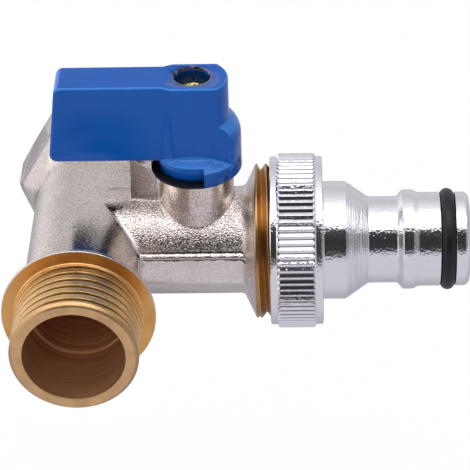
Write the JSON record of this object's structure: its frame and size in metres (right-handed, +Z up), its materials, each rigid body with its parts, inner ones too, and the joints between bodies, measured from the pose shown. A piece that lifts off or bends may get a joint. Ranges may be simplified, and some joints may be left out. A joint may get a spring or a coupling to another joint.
{
  "type": "angle valve",
  "caption": "Angle ball valve with a threaded inlet, blue quarter-turn lever and a knurled screw-on hose-nose adapter with an O-ring on its outlet.",
  "frame": {"origin": "centre of the inlet shoulder face, on the inlet axis", "axes": "-Y out of the threaded inlet mouth, +X along the outlet towards the hose nose, +Z up along the lever's stem; lever shown open, parallel to the outlet"},
  "size_m": [0.0782, 0.06, 0.0473],
  "materials": {
    "nickel_plate": "nickel-plated forging, shot-blasted",
    "polished_plate": "polished",
    "white_plastic": "smooth",
    "bare_brass": "turned",
    "black_rubber": "smooth",
    "blue_paint": "gloss paint on die-cast metal",
    "yellow_plate": "yellow-plated",
    "chrome_plate": "polished"
  },
  "bodies": {
    "valve": {"valve_body": "nickel_plate", "inlet_seat": "white_plastic", "outlet_seat": "white_plastic", "seat_retainer": "bare_brass", "stem_thrust_washer": "white_plastic", "stem_dust_ring": "black_rubber", "hose_adapter": "chrome_plate", "adapter_gasket": "black_rubber", "nose_o_ring": "black_rubber"},
    "lever": {"handle": "blue_paint", "stem": "bare_brass", "ball": "polished_plate", "stem_o_ring_lower": "black_rubber", "stem_o_ring_upper": "black_rubber", "handle_screw": "yellow_plate"}
  },
  "joints": [
    {"name": "lever_turn", "type": "hinge", "parent": "valve", "child": "lever", "pos_m": [0.019, 0.0217, 0], "axis": [0, 0, -1], "range_deg": [0, 90]}
  ]
}
